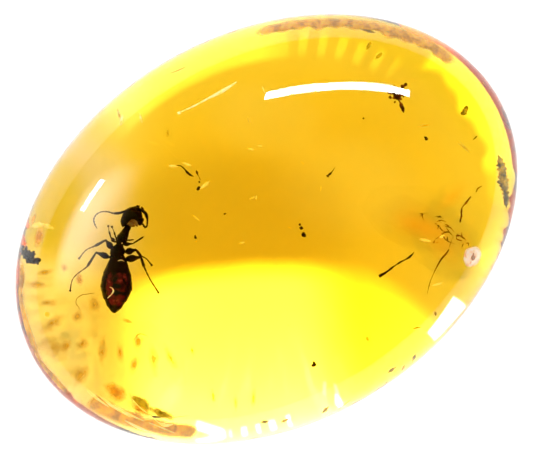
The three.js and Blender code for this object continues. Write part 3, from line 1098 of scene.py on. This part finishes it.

# pale creases in the lower crack; their paleness is a painted highlight from the glowing flash paint
creases = [
    ([(-6.15, -7.55, 2.6), (-5.70, -8.05, 2.6), (-5.35, -8.35, 2.6)], 0.022),
    ([(-6.05, -7.75, 2.6), (-5.20, -8.42, 2.6), (-4.60, -8.95, 2.6)], 0.018),
    ([(-5.60, -8.50, 2.6), (-4.60, -8.52, 2.6), (-3.50, -8.40, 2.6)], 0.018),
    ([(-5.30, -8.72, 2.6), (-4.60, -9.00, 2.6), (-4.10, -9.20, 2.6)], 0.022),
    ([(-7.60, -7.45, 2.5), (-6.90, -8.00, 2.5), (-6.10, -8.50, 2.5)], 0.05),
    ([(-6.90, -7.90, 2.5), (-6.20, -8.34, 2.5), (-5.50, -8.66, 2.5)], 0.045),
    ([(-8.10, -7.20, 2.5), (-7.60, -7.66, 2.5), (-7.10, -8.02, 2.5)], 0.050),
    ([(-6.40, -8.62, 2.5), (-5.70, -8.98, 2.5), (-4.90, -9.26, 2.5)], 0.060),
    ([(-4.90, -8.70, 2.6), (-4.55, -8.84, 2.6), (-4.20, -8.80, 2.6)], 0.070),
]
makePiece("paleCreases", joined([strand(line, [0.006, size, size * 0.8, 0.006], 30, 8, 0.2, 3)
                                 for line, size in creases]), flashPaint)

# painted highlights on the ant: glowing pale strands in a hook on its belly, a thin one at its root and two
# short ones on its trunk
antGlints = [
    ([(-7.06, -2.62, 5.10), (-6.96, -2.66, 5.12), (-6.90, -2.78, 5.13), (-6.96, -2.92, 5.12),
      (-7.06, -3.02, 5.10), (-7.16, -3.12, 5.05)], [0.012, 0.026, 0.034, 0.032, 0.026, 0.022, 0.010]),
    ([(-6.70, -1.44, 4.95), (-6.55, -1.40, 4.92), (-6.40, -1.46, 4.84)], [0.006, 0.016, 0.014, 0.006]),
    ([(-6.52, -0.66, 4.76), (-6.49, -0.62, 4.76)], [0.012, 0.02, 0.012]),
    ([(-6.62, -0.98, 4.74), (-6.56, -0.86, 4.74)], [0.006, 0.012, 0.006]),
]
makePiece("antGlints", joined([strand(places, thick, 50, 10, 0.1) for places, thick in antGlints]),
          pearlPaint)
print("the litter, bubbles and cracks are in")

studio = {
    "worldLight": 0.42,
    "skyWatts": 2.2,
    "burstWatts": 4.6,
    "burstHeight": 500.0,       # mm above the bed
    "tubeRadiance": 30.0,
    "veilRadiance": 7.0,
    "skySize": 0.5,             # m across
    "skyHeight": 0.6,           # m above the bed
    "burstSpread": 40,          # degrees across the cone
    "viewWidth": 24.01,         # mm that the camera takes in at the girdle
    "filmWidth": 36,            # mm across the camera's film
}


def floorPaint():
    # matt near-white with faint broad clouds and no gloss
    paint = Paint("bed")
    grain = paint.noise(0.4, 4.0)
    tone = paint.mix(grain.ease(0.3, 0.7), (0.89, 0.89, 0.90, 1), (0.92, 0.92, 0.92, 1))
    return paint.finish(paint.node("ShaderNodeBsdfPrincipled", None, {
        "Base Color": tone, "Roughness": 0.8, "Specular IOR Level": 0.0}))


bedMesh = bpy.data.meshes.new("bed")
bedMesh.from_pydata([(x, y, -0.02 * mm) for x, y in ((-2, -2), (2, -2), (2, 2), (-2, 2))], [],
                    [(0, 1, 2, 3)])
bedMesh.materials.append(floorPaint())
bed = bpy.data.objects.new("bed", bedMesh)
scene.collection.objects.link(bed)

world = bpy.data.worlds.new("studio")
world.use_nodes = True
world.node_tree.nodes["Background"].inputs["Color"].default_value = (1, 1, 1, 1)
world.node_tree.nodes["Background"].inputs["Strength"].default_value = studio["worldLight"]
world.cycles_visibility.glossy = False     # the ceiling is dark, so it leaves no veil on the dome
scene.world = world
scene.view_settings.view_transform = "Standard"


def onlyShadows(name, pieces):
    # a list of the pieces that stop a lamp's light; the clear stone isn't among them
    listed = bpy.data.collections.new(name)
    for piece in pieces:
        listed.objects.link(piece)
    return listed


def seenPlace(right, away, up):
    # a place in metres, given to the right and away as the eye sees it
    return Vector(toRight * right + toAway * away) + Vector((0, 0, up))


def tubeLamp(name, start, end, width, radiance):
    # a straight tube between two places, turned to face the stone, that shows only as a gleam
    lamp = bpy.data.lights.new(name, "AREA")
    lamp.shape = "RECTANGLE"
    first, last = seenPlace(*start), seenPlace(*end)
    along = (last - first).normalized()
    middle = (first + last) / 2
    facing = (along * middle.dot(along) - middle).normalized()
    lamp.size, lamp.size_y = (last - first).length, width
    lamp.energy = radiance * np.pi * lamp.size * lamp.size_y
    made = bpy.data.objects.new(name, lamp)
    turn = Matrix((along, along.cross(facing), -facing)).transposed()
    made.matrix_world = Matrix.Translation(middle) @ turn.to_4x4()
    scene.collection.objects.link(made)
    made.visible_diffuse = False
    made.visible_transmission = False
    return made


tubeLamp("tubeLamp", (-0.070, 0.323, 0.300), (0.240, 0.325, 0.300), 0.036, studio["tubeRadiance"])
tubeLamp("sideLamp", (-0.575, 0.228, 0.300), (-0.515, 0.329, 0.300), 0.045, studio["tubeRadiance"])
window = tubeLamp("window", (-0.440, -0.110, 0.330), (-0.440, 0.380, 0.330), 0.440, studio["veilRadiance"])


def curtainPaint(lamp):
    # a mask shaped like a curtained window: bright inside, with soft borders, in metres
    paint = Paint("curtain", lamp)
    place = paint.node("ShaderNodeNewGeometry", None, None, "Position")
    parts = paint.node("ShaderNodeSeparateXYZ", None, {"Vector": place}).socket.node.outputs
    x, y = Value(paint, parts[0]), Value(paint, parts[1])
    right = x * toRight[0] + y * toRight[1]
    away = x * toAway[0] + y * toAway[1]
    share = (right.ease(-0.56, -0.49) * right.ease(-0.34, -0.47)
             * away.ease(-0.11, 0.12) * away.ease(0.38, 0.20))
    warm = paint.node("ShaderNodeCombineColor", None, {
        "Red": share, "Green": share * 0.97, "Blue": share * 0.94})
    shell = paint.node("ShaderNodeEmission", None, {"Color": warm, "Strength": 1.0})
    paint.node("ShaderNodeOutputLight", None, {"Surface": shell})


curtainPaint(window.data)

sky = bpy.data.lights.new("sky", "AREA")
sky.shape = "SQUARE"
sky.size = studio["skySize"]
sky.energy = studio["skyWatts"]
skyLamp = bpy.data.objects.new("sky", sky)
skyLamp.location = (0, 0, studio["skyHeight"])
skyLamp.visible_glossy = False
skyLamp.visible_transmission = False
skyLamp.light_linking.blocker_collection = onlyShadows(
    "skyShadows", [piece for piece in scene.objects if piece.type == "MESH" and piece is not amber
                   and "fade" not in piece.data.attributes])
scene.collection.objects.link(skyLamp)


# how much each part of the pattern adds to the light on the bed
burstGain = {
    "even": 1.03, "farArc": 1.8, "upper": 0.15, "burning": 7, "nearLeft": 0.9, "haze": 0.10,
    "dim": 0.45, "leftDim": 0.25, "stain": 0.6,
}
# how much each part adds to the blue in it, and the haze and veil to the green
blueGain = {
    "burning": 12, "glints": 3, "nearLeft": 4, "haze": 3, "veil": 9, "rim": 0.5, "upperRim": 0.42,
    "fanRight": 0.6, "fanLeft": 1.5, "fanMiddle": 1.3, "rays": 1.8,
}
greenGain = {"haze": 0.16, "veil": 0.10}


def burstPaint(lamp):
    # a pattern shaped and thrown on the bed for the view from above. It stands in for the
    # light that a real dome gathers, and also brightens and tints what lies behind the amber: a
    # fan with pale rays, a dimmer middle, arcs at the rim and a few burning spots
    paint = Paint("burst", lamp)
    way = paint.node("ShaderNodeTexCoord", None, None, "Normal")
    parts = paint.node("ShaderNodeSeparateXYZ", None, {"Vector": way}).socket.node.outputs
    wayX, wayY, wayZ = (Value(paint, parts[i]) for i in range(3))
    x = wayX / -wayZ * studio["burstHeight"]
    y = wayY / -wayZ * studio["burstHeight"]
    right = x * toRight[0] + y * toRight[1]
    away = x * toAway[0] + y * toAway[1]
    ovalX, ovalY = x / stone["halfLength"], y / stone["halfWidth"]
    share = (ovalX * ovalX + ovalY * ovalY) ** 0.5
    turn = paint.node("ShaderNodeMath", {"operation": "ARCTAN2"}, {0: ovalY, 1: ovalX})

    def sine(value):
        # the sine of an angle in radians
        return paint.node("ShaderNodeMath", {"operation": "SINE"}, {0: value})

    def spot(middleRight, middleAway, heading, length, width):
        # an oblong with soft borders: 1 inside, 0 outside
        heading = np.radians(heading)
        along = (right - middleRight) * np.cos(heading) + (away - middleAway) * np.sin(heading)
        across = (away - middleAway) * np.cos(heading) - (right - middleRight) * np.sin(heading)
        along, across = along / (length / 2), across / (width / 2)
        return (along * along).ease(1.15, 0.8) * (across * across).ease(1.3, 0.6)

    def oval(middleRight, middleAway, wide, deep):
        # a soft round: 1 in the middle, 0 at its edge
        across, down = (right - middleRight) / wide, (away - middleAway) / deep
        return (across * across + down * down).ease(1.0, 0.0)

    corner = paint.node("ShaderNodeMath", {"operation": "MAXIMUM"}, {0: right - 3.4, 1: 0.0})
    grain = paint.node("ShaderNodeTexNoise", None, {
        "Vector": paint.node("ShaderNodeCombineXYZ", None, {0: turn * 9, 1: share * 2.2, 2: 0.0}),
        "Scale": 1.6, "Detail": 3.0})
    blotch = paint.node("ShaderNodeTexNoise", None, {
        "Vector": paint.node("ShaderNodeCombineXYZ", None, {0: right, 1: away, 2: 0.0}),
        "Scale": 1.5, "Detail": 3.0}).ease(0.48, 0.66)
    fanEdge = -1.48 - (right - 1.5) * (right - 1.5) * 0.018 - corner * corner * 0.13
    fan = (fanEdge - away + (grain - 0.5) * 0.3).ease(-0.55, 0.95)
    leftSide = right.ease(-6.7, -3.0)
    rightSide = right.ease(3.8, 0.6)
    rays = grain.ease(0.50, 0.72) * share.ease(0.30, 0.70) * leftSide
    fanGlow = fan * (0.4 + leftSide * (3.2 + rightSide * 9))
    middle = (right + 1.0) * (right + 1.0) * 0.030 + (away - 0.4) * (away - 0.4) * 0.10
    dim = middle.ease(1.0, 0.1) * (1 - fan)
    leftDim = right.ease(-5.5, -7.5) * away.ease(3.6, 1.5) * away.ease(-2.0, -0.4)
    farArc = share.ease(0.650, 0.680) * turn.ease(0.95, 1.18) * turn.ease(2.05, 1.75)
    lobes = (sine(turn * 63 - 3 + grain * 2).ease(-0.4, 0.7) * share.ease(0.655, 0.700)
             * share.ease(0.755, 0.725) * turn.ease(0.42, 0.50) * turn.ease(1.10, 0.98))
    waver = sine(turn * 17 + 1) * 0.010 + sine(turn * 41) * 0.005
    rightArc = (share + waver).ease(0.752, 0.782) * turn.ease(0.37, 0.31)
    rightArc = rightArc * (turn.ease(-0.36, -0.24) * 1.8 + turn.ease(-1.00, -0.90) * 0.8)
    rightArc = rightArc + share.ease(0.735, 0.765) * turn.ease(-1.02, -0.93) * turn.ease(-0.50, -0.75) * 0.9
    upper = share.ease(0.40, 0.62) * turn.ease(0.3, 0.9) * turn.ease(2.5, 1.9)
    within = share.ease(0.98, 0.90)
    # burning spots: one under the right shoulder, one under the near edge with beads beside it
    shoulder = (turn + 1.058) * 0.038 + 0.725
    shoulder = ((share - shoulder).ease(0.0, 0.004) * (share - shoulder).ease(0.040, 0.030)
                * turn.ease(-1.165, -1.145) * turn.ease(-0.940, -0.955))
    brink = (turn + 2.269) * 0.0716 + 0.739
    brow = (turn + 2.269) * -0.035 + 0.751
    brink = ((share - brink).ease(-0.003, 0.0) * (share - brow).ease(0.002, -0.001)
             * turn.ease(-2.350, -2.335) * turn.ease(-2.200, -2.215))
    string = (turn + 2.147) * -0.084 + 0.739
    beads = (sine(turn * 92 + grain * 5).ease(0.10, 0.60)
             * (share - string).ease(-0.004, 0.0) * (share - string).ease(0.008, 0.004)
             * turn.ease(-2.20, -2.17) * turn.ease(-1.86, -1.90))
    burning = shoulder + brink + spot(2.30, -6.02, 60, 0.44, 0.24) + beads
    glints = spot(1.95, -5.72, 75, 0.40, 0.12) + spot(2.38, -5.70, 100, 0.35, 0.10)
    nearLeft = right.ease(-5.6, -7.4) * away.ease(-0.7, -2.2) * (1 - fan * 0.5) * share.ease(0.84, 0.77)
    haze = (oval(0.2, 4.1, 2.8, 1.7) * 0.7 + oval(3.2, 1.8, 3.6, 2.4) * 0.8
            + right.ease(-3.6, -6.0) * away.ease(-3.0, -0.5) * share.ease(0.76, 0.70) * 0.9)
    veil = right.ease(-4.8, -5.9) * right.ease(-7.6, -6.6) * away.ease(-2.6, -1.0) * away.ease(3.2, 1.8)
    stain = blotch * right.ease(-5.4, -7.2) * share.ease(0.45, 0.60) * away.ease(-1.0, -2.4)
    # within keeps the pattern under the stone, so the bed round it stays plain
    strength = burstGain["even"] + within * (
        fanGlow + farArc * burstGain["farArc"] + lobes + rightArc + upper * burstGain["upper"]
        + burning * burstGain["burning"] + glints + nearLeft * burstGain["nearLeft"]
        + haze * burstGain["haze"] - dim * burstGain["dim"] - leftDim * burstGain["leftDim"]
        - stain * burstGain["stain"])
    # more green and blue where the light is to leave the amber paler, less blue at the thin rim
    thin = share.ease(0.68, 0.76)
    upperRim = turn.ease(-0.30, 0.20) * turn.ease(1.90, 1.60)
    green = 1 + within * (haze * greenGain["haze"] + veil * greenGain["veil"])
    blue = 1 + within * (
        burning * blueGain["burning"] + glints * blueGain["glints"] + nearLeft * blueGain["nearLeft"]
        + haze * blueGain["haze"] + veil * blueGain["veil"]
        - thin * (blueGain["rim"] + upperRim * blueGain["upperRim"])
        - fan * (1 - rightSide) * blueGain["fanRight"] + fan * (1 - leftSide) * blueGain["fanLeft"]
        + fan * leftSide * rightSide * (blueGain["fanMiddle"] + rays * blueGain["rays"]))
    # the pattern's brightness is carried in its colour, so the strength is one number
    tint = paint.node("ShaderNodeCombineColor", None, {
        "Red": strength, "Green": strength * green, "Blue": strength * blue})
    shell = paint.node("ShaderNodeEmission", None, {"Color": tint, "Strength": 1.0})
    paint.node("ShaderNodeOutputLight", None, {"Surface": shell})


burst = bpy.data.lights.new("burst", "SPOT")
burst.spot_size = np.radians(studio["burstSpread"])
burst.spot_blend = 1.0
burst.shadow_soft_size = 0.0
burst.energy = studio["burstWatts"]
burstPaint(burst)
burstLamp = bpy.data.objects.new("burst", burst)
burstLamp.location = (0, 0, studio["burstHeight"] * mm)
burstLamp.visible_glossy = False
burstLamp.visible_transmission = False
burstLamp.light_linking.blocker_collection = onlyShadows("burstShadows", [bed])
scene.collection.objects.link(burstLamp)

camera = bpy.data.objects.new("camera", bpy.data.cameras.new("camera"))
camera.data.sensor_width = studio["filmWidth"]
camera.data.lens = studio["filmWidth"] * (stone["eyeHeight"] - stone["girdleHeight"]) / studio["viewWidth"]
camera.location = (0, 0, stone["eyeHeight"] * mm)
camera.rotation_euler = (0, 0, -lieAngle)
scene.collection.objects.link(camera)
scene.camera = camera
print("the bed, lamps and camera are set")
